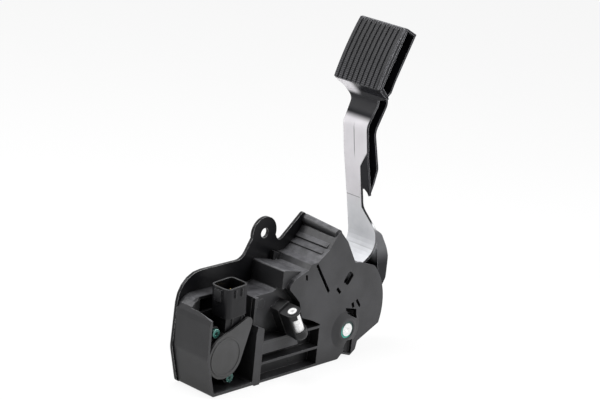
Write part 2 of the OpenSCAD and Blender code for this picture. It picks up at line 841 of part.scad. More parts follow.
module rotor_seal() color([0.1, 0.1, 0.1])
    translate([sensor_axis[0], -sensor_w0 - 2, sensor_axis[1]])
        rotate([90, 0, 0])
            rotate_extrude()
                translate([rotor_r + 0.25, 0])
                    square([0.22, 2]);

// Flat part of the arm seen from the side, without the pad box
module arm_side() {
    polygon(concat(
        front_path,
        [
            [tail_x0 + 6, tail_top_z - 1], [tail_x0 + 6, tail_floor_z + 1.5],
            [-20, tail_floor_z + 1.5], [-16, tail_floor_z - 2]
        ],
        [for (a = [250:15:310]) hub_r * [cos(a), sin(a)]],
        [for (i = [len(back_path) - 1:-1:0]) back_path[i]]
    ));
}

module front_wall() {
    polygon(strip(front_path, -flange_t));
}

module back_wall() {
    polygon(strip(back_path, flange_t));
}

// Front view of the arm: depth and height, with the waist and the flare
module front_view() {
    neck_z = pad_foot[1];
    polygon(rounded([
        [arm_w0, 0, 0], [arm_w0, neck_z - 18, 12],
        [pad_w0, neck_z - 2, 4], [pad_w0, neck_z + 70, 0], [pad_w1, neck_z + 70, 0],
        [pad_w1, neck_z - 9.2, 1.5], [arm_w1 + 3, neck_z - 13, 4], [arm_w1, neck_z - 34, 0],
        [arm_w1, 161.5, 9], [arm_w0 + waist_width + 1.2, 146, 10],
        [arm_w0 + waist_width, 105.5, 12], [drum_w, 86.5, 10], [drum_w, 0, 0]
    ]));
}

// Near rim of the arm: the pocket above the waist tapers to a point
module near_pocket_walls() {
    front = path([
        [neck_tip[0] + 2, neck_tip[1] - 3], [18.2, 206, 8], [9.8, 184.5, 9], [15, 157, 40],
        [25.4, 115]
    ]);
    back = path([
        [24, 224], [36.5, 205, 10], [23, 179, 12],
        [32.4, 143, 10], [29.4, 131, 3], [24.4, 118]
    ]);
    polygon(strip(front, -flange_t + 0.6));
    polygon(strip(back, flange_t - 0.6));
}

// Closed swell at the arm's back edge, over the gap between the cheeks
module drum() {
    edge = path(drum_pts);
    back = [for (p = edge) if (p[1] > 29) p];
    intersection() {
        difference() {
            slab(web_w1 - 1, drum_w)
                polygon(concat([[33.4, 87], [36, 71.4], [42.4, 40], [43.4, 30]],
                    [for (i = [len(back) - 1:-1:0]) back[i]]));
            slab(web_w1 - 2, drum_w - flange_t)
                polygon([
                    [37, 80], [38.6, 70], [45, 40], [45.4, 20], [48.6, 20], [49, 36], [51.6, 44],
                    [51.4, 52], [47, 65], [41.6, 76]
                ]);
        }
        translate([0, 0, 20])
            linear_extrude(80)
                polygon(rounded([
                    [20, -web_w1 + 2, 0], [20, -drum_w - 1, 0], [58, -drum_w - 1, 9],
                    [58, -web_w1 + 2, 0]
                ]));
    }
    slab(web_w1 - 1, drum_w - 6)
        polygon(strip([for (p = edge) if (p[1] < 45) p], flange_t));
}

module pad_box() {
    outline = [
        pad_pt(0, 0), pad_pt(pad_len + 1, 0), pad_pt(pad_len + 1, pad_box_d + 0.6),
        pad_pt(14.6, pad_box_d + 0.6), pad_pt(4.2, pad_box_d + 1.6), neck_tip
    ];
    inside = [
        pad_pt(0.6, pad_rim_t), pad_pt(pad_len + 1 - pad_rim_t, pad_rim_t),
        pad_pt(pad_len + 1 - pad_rim_t, pad_box_d + 0.6 - pad_rim_t),
        pad_pt(14.4, pad_box_d + 0.6 - pad_rim_t), pad_pt(4.6, pad_box_d + 1.6 - pad_rim_t),
        neck_tip + [0.4, 2.7]
    ];
    difference() {
        slab(pad_w0, pad_w1)
            polygon(outline);
        slab(pad_w0 - 1, web_w0)
            polygon(inside);
        slab(web_w1, pad_w1 + 1)
            polygon(inside);
    }
}

module pedal_arm() color([0.78, 0.78, 0.8]) {
    difference() {
        union() {
            intersection() {
                union() {
                    difference() {
                        union() {
                            slab(web_w0, web_w1)
                                arm_side();
                            slab(arm_w0, web_w1)
                                back_wall();
                        }
                        slab(arm_w0 + 7, web_w1 + 1)
                            polygon(rounded([
                                [0, 98, 0], [28, 98, 0], [45, 88, 0], [80, 88, 0], [80, 122, 0],
                                [0, 122, 0]
                            ]));
                    }
                    intersection() {
                        slab(arm_w0, arm_w0 + web_t)
                            arm_side();
                        slab(arm_w0 - 1, arm_w0 + web_t + 1)
                            translate([0, 80])
                                square([80, 54]);
                    }
                    slab(pad_w0, pad_w1)
                        front_wall();
                    drum();
                    pad_box();
                }
                union() {
                    crosswise(-6, 70)
                        front_view();
                    slab(tail_w0, tail_w1)
                        translate([-60, -30])
                            square([90, 100]);
                }
            }
            intersection() {
                slab(web_w1 - 0.01, arm_w1)
                    near_pocket_walls();
                crosswise(0, 70)
                    polygon([[0, 130], [24.5, 129], [arm_w1 + 1, 118.4], [arm_w1 + 1, 260], [0, 260]]);
            }
            slab(tail_w0, tail_w1)
                polygon(rounded([
                    [tail_x0, tail_top_z, 2], [tail_x0, tail_floor_z, 2],
                    [-34, tail_floor_z, 3], [-12, -13, 0], [0, 0, 0], [-10, tail_top_z, 0]
                ]));
            rod(pivot, arm_w0, tail_w0, hub_r - 3.4);
            rod(pivot, tail_w0 - 0.01, inner_w - 3, hub_r);
            slab(lever_w0, tail_w0 + 0.01)
                polygon([
                    hub_r * 0.5 * [cos(crank_lean - 90), sin(crank_lean - 90)],
                    crank_pin + 4.6 * [cos(crank_lean - 90), sin(crank_lean - 90)],
                    crank_pin + 4.6 * [cos(crank_lean + 90), sin(crank_lean + 90)],
                    hub_r * 0.5 * [cos(crank_lean + 90), sin(crank_lean + 90)]
                ]);
            rod(crank_pin, lever_w0, tail_w0 + 4, 4.6);
        }
        rod(pivot, arm_w0 - 1, inner_w, shaft_r + 0.02);
        rod(crank_pin, lever_w0 - 1, tail_w0 + 2, stud_r + fit_c);
    }
}

// Side view of the tread: its crown is an arc between the two ends
module pad_side(height) {
    steps = 8;
    polygon(concat(
        [pad_pt(pad_len, 0), pad_pt(0, 0)],
        [for (i = [0:steps]) pad_pt(pad_len * i / steps,
            -height - pad_crown * (1 - pow(2 * i / steps - 1, 2)))]
    ));
}

module pedal_pad() color([0.1, 0.1, 0.11]) {
    pitch = pad_width / ridge_count;
    intersection() {
        union() {
            slab(pad_w0, pad_w1)
                pad_side(pad_t);
            for (i = [0:ridge_count - 1])
                slab(pad_w0 + (i + 0.18) * pitch, pad_w0 + (i + 0.82) * pitch)
                    pad_side(pad_t + ridge_h);
        }
        translate([pad_foot[0], -pad_w0, pad_foot[1]])
            rotate([0, 90 - pad_angle, 0])
                rotate([0, -90, 0])
                    translate([pad_len / 2, -pad_width / 2, -1])
                        linear_extrude(pad_t + pad_crown + ridge_h + 2)
                            rounded_rect([pad_len, pad_width], 2.5);
    }
}

module pivot_shaft() color("silver")
    difference() {
        rod(pivot, plate_t + 0.4, case_w + boss_h, shaft_r);
        translate([0, -case_w - boss_h, 0])
            rotate([90, 0, 0])
                translate([0, 0, -1.4])
                    cylinder(h = 2, r1 = 0.4, r2 = 2.4);
    }

washer_w0 = inner_w - 3 + 0.05;
module friction_washer() color([0.85, 0.8, 0.6])
    difference() {
        rod(pivot, washer_w0, washer_w0 + 0.9, hub_r - 3);
        rod(pivot, washer_w0 - 1, washer_w0 + 2, shaft_r + 0.05);
    }

module disc_spring() color([0.5, 0.5, 0.52])
    translate([0, -washer_w0 - 0.95, 0])
        rotate([90, 0, 0])
            rotate_extrude()
                polygon([
                    [shaft_r + 0.3, 0.5], [hub_r - 5, 0], [hub_r - 5, 0.45],
                    [shaft_r + 0.3, 0.95]
                ]);

module crank_stud() color("silver")
    union() {
        rod(crank_pin, link_w0 - 0.8, tail_w0 + 1.8, stud_r);
        rod(crank_pin, link_w0 - 1.6, link_w0 - 0.3, stud_r + 1.4);
    }

module drive_link() color([0.15, 0.15, 0.16])
    difference() {
        union() {
            for (p = [crank_pin, lever_pin])
                rod(p, link_w0, link_w1, link_r);
            slab(link_w0, link_w1)
                polygon([
                    lever_pin + [0, -2.8], crank_pin + [0, -2.8],
                    crank_pin + [0, 2.8], lever_pin + [0, 2.8]
                ]);
        }
        for (p = [crank_pin, lever_pin])
            rod(p, link_w0 - 1, link_w1 + 1, stud_r + run_c);
        slab(link_w0 - 1, link_w0 + 1)
            translate((crank_pin + lever_pin) / 2)
                rounded_rect([118, 2.6], 1.2);
    }

module link_clip() color([0.5, 0.5, 0.52])
    difference() {
        rod(lever_pin, link_w0 - 1, link_w0 - 0.2, stud_r + 1.6);
        rod(lever_pin, link_w0 - 2, link_w0 + 1, stud_r - 0.4 + 0.02);
    }

module sensor_rotor() color([0.15, 0.15, 0.16])
    difference() {
        union() {
            rod(sensor_axis, lever_w0, sensor_w0 + 8, rotor_r);
            slab(lever_w0, lever_w1)
                polygon([
                    sensor_axis + 6 * [cos(crank_lean - 90), sin(crank_lean - 90)],
                    lever_pin + 4.4 * [cos(crank_lean - 90), sin(crank_lean - 90)],
                    lever_pin + 4.4 * [cos(crank_lean + 90), sin(crank_lean + 90)],
                    sensor_axis + 6 * [cos(crank_lean + 90), sin(crank_lean + 90)]
                ]);
            rod(lever_pin, lever_w0, lever_w1, 4.4);
            rod(sensor_axis, lever_w0, lever_w1, 7);
        }
        rod(sensor_axis, sensor_w0 + 5, sensor_w0 + 9, 3 + fit_c);
        rod(lever_pin, lever_w0 - 1, lever_w1 + 1, stud_r + 0.02);
    }

module rotor_magnet() color([0.4, 0.4, 0.42])
    rod(sensor_axis, sensor_w0 + 5.05, sensor_w0 + 8, 3);

module lever_stud() color("silver")
    difference() {
        rod(lever_pin, link_w0 - 1.4, lever_w1 - 0.2, stud_r);
        difference() {
            rod(lever_pin, link_w0 - 1.02, link_w0 - 0.18, stud_r + 1);
            rod(lever_pin, link_w0 - 2, link_w0, stud_r - 0.4);
        }
    }

mounting_plate();
housing();
near_bush();
far_bush();
plate_screws();
slanted_pin();
rest_bumper();
travel_bumper();
spring_cap();
outer_return_spring();
inner_return_spring();
sensor_body();
sensor_cover();
sensor_screws();
connector_pins();
sensor_board();
rotor_seal();
pedal_arm();
pedal_pad();
pivot_shaft();
friction_washer();
disc_spring();
spring_seat();
crank_stud();
drive_link();
link_clip();
sensor_rotor();
rotor_magnet();
lever_stud();
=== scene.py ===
"""Looks and studio for the accelerator pedal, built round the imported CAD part.

All lengths are metres in the frame's axes: X towards the pad, Z up. "across" is the depth from the mounting
face towards the near side, so it is -Y. A zone's limits are (coordinate, start, end): its mask is 0 where the
coordinate is at start and 1 where it is at end.
"""

import bmesh
import bpy
from mathutils import Matrix, Vector


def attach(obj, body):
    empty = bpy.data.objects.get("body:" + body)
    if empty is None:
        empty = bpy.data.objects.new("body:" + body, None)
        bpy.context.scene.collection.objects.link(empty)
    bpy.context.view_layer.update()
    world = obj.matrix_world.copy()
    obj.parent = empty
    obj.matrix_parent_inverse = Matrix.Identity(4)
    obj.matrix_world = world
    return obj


# The slanted pin: the low end of its axis, the axis's direction and depth, the boss's middle along it, and
# the limits of the end face, of the dark ring round its end and of the painted shade in its hollow
PIN_FOOT_X = -0.07
PIN_FOOT_Z = 0.0131
PIN_LEAN_X = -0.477
PIN_LEAN_Z = 0.879
PIN_ACROSS = 0.054
PIN_MIDDLE = 0.0137
PIN_END = (0.0262, 0.0266)
PIN_DARK_RING = (0.0037, 0.0042)
PIN_HOLLOW = (0.0014, 0.0009)

# Moulded and coated surfaces: painted edge highlight, painted top light, painted side and pocket shade, grain
SHADE_SHARE = 0.25
POCKET_REACH = 0.04
EDGE_HIGHLIGHT_SCALE = 260.0
EDGE_HIGHLIGHT_LIMITS = (0.3, 0.6)
STREAK_SCALE = 90.0
STREAK_LIMITS = (0.25, 0.75)
TOP_HIGHLIGHT_FACING = (0.35, 0.85)
SIDE_SHADE_FACING = (-0.45, -0.95)
SIDE_SHADE_SHARE = 0.55
UNEVEN_GLOSS = 0.12
EDGE_HIGHLIGHT_GLOSS = -0.1
GRAIN_HEIGHT = 0.0002

# The housing's zones of painted shade
BOSS_SIDES = (("aside", 0.0125, 0.0105), ("off_middle", 0.021, 0.018), ("across", 0.035, 0.037))
BOSS_ABOVE_RIBS = ("z", 0.011, 0.014)
BOSS_PROUD_OF_RIBS = ("across", 0.0455, 0.0462)
SENSOR_BAY = (("x", -0.116, -0.119), ("x", -0.168, -0.165), ("across", 0.0445, 0.04),
              ("across", 0.014, 0.016))
PIVOT_FLANK = (("across", 0.0451, 0.0454), ("across", 0.0479, 0.0474), ("reach", 0.024, 0.022))
FLANK_TURN = ("x", -0.02, 0.02)
CHEEK_CUTS = (("across", 0.0449, 0.0447), ("across", 0.04, 0.0405), ("reach", 0.055, 0.0545),
              ("x", -0.046, -0.044))
HOUSING_SHADE = 0.9

# The arm's front face as x at each z, and how far across it reaches at each z
ARM_FRONT = ((0.069, 0.0348), (0.112, 0.0255), (0.157, 0.0148), (0.1845, 0.0098), (0.206, 0.0182))
ARM_WAIST = ((0.0865, 0.042), (0.1055, 0.0257), (0.146, 0.0268), (0.1615, 0.0362))

FRONT_LIMITS = (0.0045, 0.0035)
WAIST_LIMITS = (0.0002, -0.0001)

# The arm's zones of painted reflection, its lines and its other tones
TREAD_FACING = (-0.5, -0.8)
TREAD_SIDE = (("z", 0.1945, 0.188), ("z", 0.066, 0.07))
FOOT = (("facing_z", 0.3, 0.6), ("z", 0.045, 0.05), ("z", 0.073, 0.07))
DRUM = (("across", 0.026, 0.0275), ("x", 0.029, 0.032), ("z", 0.094, 0.09), ("z", 0.052, 0.07))
DRUM_FADE = ("across", 0.0415, 0.037)
UNDER_PAD = (("z", 0.209, 0.213), ("z", 0.228, 0.225), ("across", 0.022, 0.012), ("facing_z", 0.0, -0.3))
SEAM_ACROSS = 0.0207
SEAM = (("off_seam", 0.0006, 0.0002), ("z", 0.15, 0.162), ("z", 0.188, 0.178))
STEP_Z = 0.1146
STEP = (("off_step", 0.0004, 0.0001), ("across", 0.0255, 0.0225))
NECK_SHEEN = (("z", 0.194, 0.199), ("z", 0.209, 0.204))
NEAR_RIM = ("across", 0.03, 0.034)
COOL_BELOW = ("z", 0.12, 0.1)
ARM_CLOUDS = 24.0

# The bush's painted shade gives way to its teal as x + z falls between these
BUSH_TEAL = (0.001, -0.004)

# The tread: its serrations, the ribs' side limit and the top and near rim with a painted highlight
SERRATION_PITCH = 0.0016
FULL_TURN = 6.2832
TREAD_LOWER = ("z", 0.255, 0.215)
TREAD_RIBBED = ("y", -0.049, -0.0475)
TREAD_TOP_RIM = ("z", 0.2735, 0.275)
TREAD_NEAR_RIM = ("y", -0.05, -0.0508)

# The web under the pivot boss: its depths, and its corners as x and z
WEB_BACK = 0.0421
WEB_FACE = 0.0431
WEB_DISH = 0.0426
WEB_EDGE = ((0.0003, -0.0102), (0.0117, -0.0117), (0.0117, -0.0265), (0.0003, -0.0233))
WEB_RIM = ((0.0016, -0.0116), (0.0104, -0.0128), (0.0104, -0.0248), (0.0016, -0.0223))
WEB_FLOOR = ((0.0021, -0.0121), (0.0099, -0.0133), (0.0099, -0.0242), (0.0021, -0.0219))

# The studio: each lamp's name, place, width and power in watts
LAMP_TARGET = (-0.06, -0.025, 0.1)
LAMPS = (
    ("back left", (-0.75, 0.6, 0.95), 0.5, 6.0),
    ("front right", (0.35, -0.75, 0.7), 0.45, 8.5),
    ("top", (-0.3, 0.15, 1.25), 0.5, 11.0),
)
AMBIENT_LIGHT = 0.25
FLOOR_Z = -0.0295
FLOOR_REACH = 3.0
FLOOR_WHITE_SHARE = 0.88

# The camera at the photograph's place
CAMERA_RIGHT = (0.68923, -0.71803, 0.09697)
CAMERA_UP = (0.15294, 0.27499, 0.94920)
CAMERA_FORWARD = (0.70822, 0.63939, -0.29935)
CAMERA_PLACE = (-1.3182, -1.1649, 0.6591)
CAMERA_LENS = 123.0
CAMERA_SENSOR = 36.0

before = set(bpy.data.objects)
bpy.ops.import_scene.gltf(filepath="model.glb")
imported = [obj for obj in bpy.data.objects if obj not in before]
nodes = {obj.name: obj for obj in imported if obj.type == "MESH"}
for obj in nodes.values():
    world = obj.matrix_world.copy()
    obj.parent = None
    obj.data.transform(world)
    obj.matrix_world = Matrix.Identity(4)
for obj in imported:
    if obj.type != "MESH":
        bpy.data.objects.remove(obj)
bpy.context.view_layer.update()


# Node helpers

def new_material(name):
    material = bpy.data.materials.new(name)
    material.use_nodes = True
    tree = material.node_tree
    return material, tree, tree.nodes["Principled BSDF"]


def feed(tree, value, socket):
    """Links an output, or sets a plain number, on a node's socket."""
    if isinstance(value, (int, float)):
        socket.default_value = value
    else:
        tree.links.new(value, socket)


def calc(tree, operation, a, b=0.0, clamp=False):
    node = tree.nodes.new("ShaderNodeMath")
    node.operation = operation
    node.use_clamp = clamp
    feed(tree, a, node.inputs[0])
    feed(tree, b, node.inputs[1])
    return node.outputs["Value"]


def combine(tree, operation, first, *others):
    """One operation over several values, from left to right."""
    result = first
    for value in others:
        result = calc(tree, operation, result, value)
    return result


def product(tree, *values):
    return combine(tree, "MULTIPLY", *values)


def total(tree, *values):
    return combine(tree, "ADD", *values)


def largest(tree, *values):
    return combine(tree, "MAXIMUM", *values)


def inverse(tree, mask):
    return calc(tree, "SUBTRACT", 1.0, mask)


def distance_from(tree, value, middle):
    return calc(tree, "ABSOLUTE", calc(tree, "SUBTRACT", value, middle))


def length(tree, a, b):
    return calc(tree, "SQRT", total(tree, product(tree, a, a), product(tree, b, b)))


def span(tree, value, start, end):
    """0 where value is at start, 1 where it is at end, smooth between."""
    node = tree.nodes.new("ShaderNodeMapRange")
    node.interpolation_type = "SMOOTHSTEP"
    node.inputs["From Min"].default_value = start
    node.inputs["From Max"].default_value = end
    tree.links.new(value, node.inputs["Value"])
    return node.outputs["Result"]


def zone(tree, place, *limits):
    """1 where every limit is met, 0 outside."""
    return product(tree, *(span(tree, place[axis], start, end) for axis, start, end in limits))


def profile(tree, value, points):
    """A broken line through (value, result) points, as a function of value."""
    lows = [min(point[axis] for point in points) for axis in (0, 1)]
    sizes = [max(point[axis] for point in points) - lows[axis] for axis in (0, 1)]
    curve_node = tree.nodes.new("ShaderNodeFloatCurve")
    curve = curve_node.mapping.curves[0]
    while len(curve.points) < len(points):
        curve.points.new(0.5, 0.5)
    for spot, point in zip(curve.points, sorted(points)):
        spot.location = [(point[axis] - lows[axis]) / sizes[axis] for axis in (0, 1)]
        spot.handle_type = "VECTOR"
    curve_node.mapping.update()
    share = calc(tree, "DIVIDE", calc(tree, "SUBTRACT", value, lows[0]), sizes[0], clamp=True)
    tree.links.new(share, curve_node.inputs["Value"])
    return total(tree, product(tree, curve_node.outputs["Value"], sizes[1]), lows[1])


def noise(tree, where, scale, detail=3.0, roughness=0.55):
    node = tree.nodes.new("ShaderNodeTexNoise")
    node.inputs["Scale"].default_value = scale
    node.inputs["Detail"].default_value = detail
    node.inputs["Roughness"].default_value = roughness
    tree.links.new(where, node.inputs["Vector"])
    return node.outputs["Fac"]


def blend_colour(tree, factor, a, b):
    """Mixes two colours, each an output or a plain triple."""
    node = tree.nodes.new("ShaderNodeMix")
    node.data_type = "RGBA"
    tree.links.new(factor, node.inputs["Factor"])
    for value, socket in ((a, node.inputs["A"]), (b, node.inputs["B"])):
        if isinstance(value, tuple):
            socket.default_value = (*value, 1)
        else:
            tree.links.new(value, socket)
    return node.outputs["Result"]


def mottle(tree, where, dark, light, scale=38.0):
    """Two close tones in soft clouds."""
    cloud = span(tree, noise(tree, where, scale, 4.0), 0.3, 0.7)
    return blend_colour(tree, cloud, dark, light)


def object_place(tree):
    return tree.nodes.new("ShaderNodeTexCoord").outputs["Object"]


def parts_of(tree, vector):
    node = tree.nodes.new("ShaderNodeSeparateXYZ")
    tree.links.new(vector, node.inputs["Vector"])
    return [node.outputs[axis] for axis in "XYZ"]


def coordinates(tree, where):
    """The place's x, y and z, and its depth across, by name."""
    x, y, z = parts_of(tree, where)
    return {"x": x, "y": y, "z": z, "across": product(tree, y, -1.0)}


def add_pin_coordinates(tree, place):
    """How far a place lies beside the slanted pin's axis, and how far along it from the low end."""
    from_x = calc(tree, "SUBTRACT", place["x"], PIN_FOOT_X)
    from_z = calc(tree, "SUBTRACT", place["z"], PIN_FOOT_Z)
    beside = calc(tree, "SUBTRACT", product(tree, from_x, PIN_LEAN_Z), product(tree, from_z, PIN_LEAN_X))
    place["aside"] = calc(tree, "ABSOLUTE", beside)
    place["along"] = total(tree, product(tree, from_z, PIN_LEAN_Z), product(tree, from_x, PIN_LEAN_X))
    place["off_middle"] = distance_from(tree, place["along"], PIN_MIDDLE)


def rounded_edges(tree, radius):
    """The surface's normal with its edges rounded, and where those edges are."""
    bevel = tree.nodes.new("ShaderNodeBevel")
    bevel.samples = 6
    bevel.inputs["Radius"].default_value = radius
    plain = tree.nodes.new("ShaderNodeNewGeometry").outputs["Normal"]
    dot = tree.nodes.new("ShaderNodeVectorMath")
    dot.operation = "DOT_PRODUCT"
    tree.links.new(bevel.outputs["Normal"], dot.inputs[0])
    tree.links.new(plain, dot.inputs[1])
    return bevel.outputs["Normal"], span(tree, dot.outputs["Value"], 0.98, 0.75)


def unshaded_share(tree, reach):
    """1 on open faces, falling towards 0 inside pockets, where the colour takes painted shade."""
    node = tree.nodes.new("ShaderNodeAmbientOcclusion")
    node.samples = 8
    node.inputs["Distance"].default_value = reach
    return span(tree, node.outputs["AO"], 0.2, 0.9)


def relief(tree, height, strength, distance, normal):
    bump = tree.nodes.new("ShaderNodeBump")
    bump.inputs["Strength"].default_value = strength
    bump.inputs["Distance"].default_value = distance
    tree.links.new(height, bump.inputs["Height"])
    tree.links.new(normal, bump.inputs["Normal"])
    return bump.outputs["Normal"]


# Finishes

def paint_top_light_and_side_shade(tree, where, normal, tone, top_highlight, shade_tone):
    """Painted light in streaks on faces that look up, and painted shade on faces towards the sensor end."""
    facing_x, _, facing_z = parts_of(tree, normal)
    # Painted light: faces that look up turn paler in streaks. Painted shade: faces towards the sensor end
    # darken.
    streaks = span(tree, noise(tree, where, STREAK_SCALE, 5.0, 0.65), *STREAK_LIMITS)
    lit_from_above = product(tree, span(tree, facing_z, *TOP_HIGHLIGHT_FACING), streaks)
    top_lit_tone = blend_colour(tree, lit_from_above, tone, top_highlight)
    side_shaded = product(tree, span(tree, facing_x, *SIDE_SHADE_FACING), SIDE_SHADE_SHARE)
    return blend_colour(tree, side_shaded, top_lit_tone, shade_tone)


def surface(name, dark, light, edge, roughness, grain, bump, metallic=0.0, specular=0.5, radius=0.0004,
            top_highlight=None, shade=None):
    """A moulded or coated surface: two close tones, fine grain, a patchy painted edge highlight, painted
    shade.
    """
    material, tree, shader = new_material(name)
    where = object_place(tree)
    normal, on_edge = rounded_edges(tree, radius)
    # Painted highlight on the edges, broken up in patches by noise
    edge_highlight = product(tree, on_edge, span(tree, noise(tree, where, EDGE_HIGHLIGHT_SCALE), *EDGE_HIGHLIGHT_LIMITS))
    # The painted shade tone, a share of the dark tone
    shade_tone = tuple(channel * SHADE_SHARE for channel in dark)
    tone = mottle(tree, where, dark, light)
    # Painted light on top faces and painted shade on faces towards the sensor end
    if top_highlight:
        tone = paint_top_light_and_side_shade(tree, where, normal, tone, top_highlight, shade_tone)
    # Painted shade in pockets
    tone = blend_colour(tree, unshaded_share(tree, POCKET_REACH), shade_tone, tone)
    if shade:
        # Painted shade in the housing's darkest zones
        tone = blend_colour(tree, shade(tree, where), tone, shade_tone)
    tree.links.new(blend_colour(tree, edge_highlight, tone, edge), shader.inputs["Base Color"])
    fine = noise(tree, where, grain, 3.0, 0.6)
    uneven = product(tree, calc(tree, "SUBTRACT", fine, 0.5), UNEVEN_GLOSS)
    rough = total(tree, uneven, roughness, product(tree, edge_highlight, EDGE_HIGHLIGHT_GLOSS))
    tree.links.new(rough, shader.inputs["Roughness"])
    tree.links.new(relief(tree, fine, bump, GRAIN_HEIGHT, normal), shader.inputs["Normal"])
    shader.inputs["Metallic"].default_value = metallic
    shader.inputs["Specular IOR Level"].default_value = specular
    return material


def painted_housing_shade(tree, where):
    """Painted shade where the housing is darkest: slanted boss, sensor bay, pivot boss's flank, cuts."""
    place = coordinates(tree, where)
    add_pin_coordinates(tree, place)
    place["reach"] = length(tree, place["x"], place["z"])
    clear_of_ribs = largest(tree, zone(tree, place, BOSS_ABOVE_RIBS), zone(tree, place, BOSS_PROUD_OF_RIBS))
    slanted_boss = product(tree, zone(tree, place, *BOSS_SIDES), clear_of_ribs)
    flank_depth = total(tree, product(tree, zone(tree, place, FLANK_TURN), 0.45), 0.25)
    flank = product(tree, zone(tree, place, *PIVOT_FLANK), flank_depth)
    zones = largest(tree, slanted_boss, zone(tree, place, *SENSOR_BAY), flank, zone(tree, place, *CHEEK_CUTS))
    return product(tree, zones, HOUSING_SHADE)


def brushed(name, dark, light, roughness, metallic=1.0):
    """Turned or drawn metal with fine lines."""
    material, tree, shader = new_material(name)
    stretch = tree.nodes.new("ShaderNodeMapping")
    stretch.inputs["Scale"].default_value = (60.0, 900.0, 900.0)
    tree.links.new(object_place(tree), stretch.inputs["Vector"])
    lines = noise(tree, stretch.outputs["Vector"], 3.0, 2.0, 0.5)
    colour = blend_colour(tree, span(tree, lines, 0.3, 0.7), dark, light)
    tree.links.new(colour, shader.inputs["Base Color"])
    normal, _ = rounded_edges(tree, 0.0003)
    tree.links.new(relief(tree, lines, 0.08, 0.0001, normal), shader.inputs["Normal"])
    shader.inputs["Metallic"].default_value = metallic
    shader.inputs["Roughness"].default_value = roughness
    return material


def pin_finish():
    """Zinc plate, bright at the end, with a dark ring round it and painted shade in a middle hollow."""
    material, tree, shader = new_material("pin_finish")
    where = object_place(tree)
    place = coordinates(tree, where)
    add_pin_coordinates(tree, place)
    depth = calc(tree, "SUBTRACT", place["across"], PIN_ACROSS)
    from_axis = length(tree, place["aside"], depth)
    at_end = span(tree, place["along"], *PIN_END)
    # A dark ring round the end's edge
    dark_ring = product(tree, span(tree, from_axis, *PIN_DARK_RING), at_end)
    # Painted shade in the middle of the end, as in a small hollow
    hollow = product(tree, span(tree, from_axis, *PIN_HOLLOW), at_end)
    plain_zinc = mottle(tree, where, (0.62, 0.62, 0.62), (0.88, 0.88, 0.88), 500.0)
    colour = blend_colour(tree, dark_ring, plain_zinc, (0.03, 0.03, 0.032))
    colour = blend_colour(tree, product(tree, hollow, 0.5), colour, (0.2, 0.2, 0.2))
    tree.links.new(colour, shader.inputs["Base Color"])
    shader.inputs["Metallic"].default_value = 0.25
    shader.inputs["Roughness"].default_value = 0.35
    return material


def bush_finish():
    """Teal bearing plastic, nearly black under painted shade on its upper side towards the pad."""
    material, tree, shader = new_material("bush_plastic")
    where = object_place(tree)
    place = coordinates(tree, where)
    slope = total(tree, place["x"], place["z"])
    teal = mottle(tree, where, (0.03, 0.26, 0.2), (0.08, 0.45, 0.36), 240.0)
    # Painted shade: nearly black where x + z is high
    colour = blend_colour(tree, span(tree, slope, *BUSH_TEAL), (0.02, 0.05, 0.045), teal)
    tree.links.new(colour, shader.inputs["Base Color"])
    normal, _ = rounded_edges(tree, 0.0003)
    tree.links.new(relief(tree, noise(tree, where, 900.0), 0.2, 0.0001, normal), shader.inputs["Normal"])
    shader.inputs["Roughness"].default_value = 0.35
    shader.inputs["Specular IOR Level"].default_value = 0.4
    return material


def tread_finish():
    """Rubber, serrations across the ribs deeper low down, painted groove shade and painted edge highlights.
    """
    material, tree, shader = new_material("tread_rubber")
    dark = (0.006, 0.006, 0.007)
    light = (0.012, 0.012, 0.014)
    serration_and_highlight_tone = (0.13, 0.13, 0.14)
    where = object_place(tree)
    place = coordinates(tree, where)
    normal, on_edge = rounded_edges(tree, 0.001)
    wave = calc(tree, "SINE", product(tree, place["z"], FULL_TURN / SERRATION_PITCH))
    depth = total(tree, product(tree, zone(tree, place, TREAD_LOWER), 0.8), 0.2)
    cut = product(tree, span(tree, wave, -0.6, 0.8), depth, zone(tree, place, TREAD_RIBBED))
    tone = blend_colour(tree, product(tree, cut, 0.5), mottle(tree, where, dark, light), serration_and_highlight_tone)
    # Painted highlight on the edges
    tone = blend_colour(tree, product(tree, on_edge, 0.5), tone, serration_and_highlight_tone)
    # Painted shade in the grooves
    tone = blend_colour(tree, unshaded_share(tree, 0.0015), dark, tone)
    # Brighter painted highlight on the top and near rim edges
    rim_highlights = largest(tree, zone(tree, place, TREAD_TOP_RIM), zone(tree, place, TREAD_NEAR_RIM))
    colour = blend_colour(tree, product(tree, rim_highlights, on_edge), tone, (0.5, 0.5, 0.53))
    tree.links.new(colour, shader.inputs["Base Color"])
    height = total(tree, cut, product(tree, noise(tree, where, 1800.0), 0.3))
    tree.links.new(relief(tree, height, 0.5, 0.0003, normal), shader.inputs["Normal"])
    shader.inputs["Roughness"].default_value = 0.42
    shader.inputs["Specular IOR Level"].default_value = 0.2
    return material


def painted_reflection_share(tree, place, tread_face, on_edge):
    """Where the arm takes its painted reflection, less its seam, its step line and its edges."""
    across_limit = profile(tree, place["z"], ARM_WAIST)
    inside_waist = span(tree, calc(tree, "SUBTRACT", place["across"], across_limit), *WAIST_LIMITS)
    tread_side = product(tree, tread_face, inside_waist, zone(tree, place, *TREAD_SIDE))
    foot = product(tree, zone(tree, place, *FOOT), 0.92)
    drum_fade = total(tree, zone(tree, place, DRUM_FADE), 0.12)
    drum = calc(tree, "MULTIPLY", product(tree, zone(tree, place, *DRUM), drum_fade), 1.1, clamp=True)
    # Painted reflection on the tread side, the foot, the drum and under the pad
    reflection_zones = largest(tree, tread_side, foot, drum, zone(tree, place, *UNDER_PAD))
    place["off_seam"] = distance_from(tree, place["across"], SEAM_ACROSS)
    place["off_step"] = distance_from(tree, place["z"], STEP_Z)
    lines = largest(tree, zone(tree, place, *SEAM), zone(tree, place, *STEP))
    return product(tree, reflection_zones, inverse(tree, product(tree, lines, 0.8)),
                   inverse(tree, product(tree, on_edge, 0.75)))


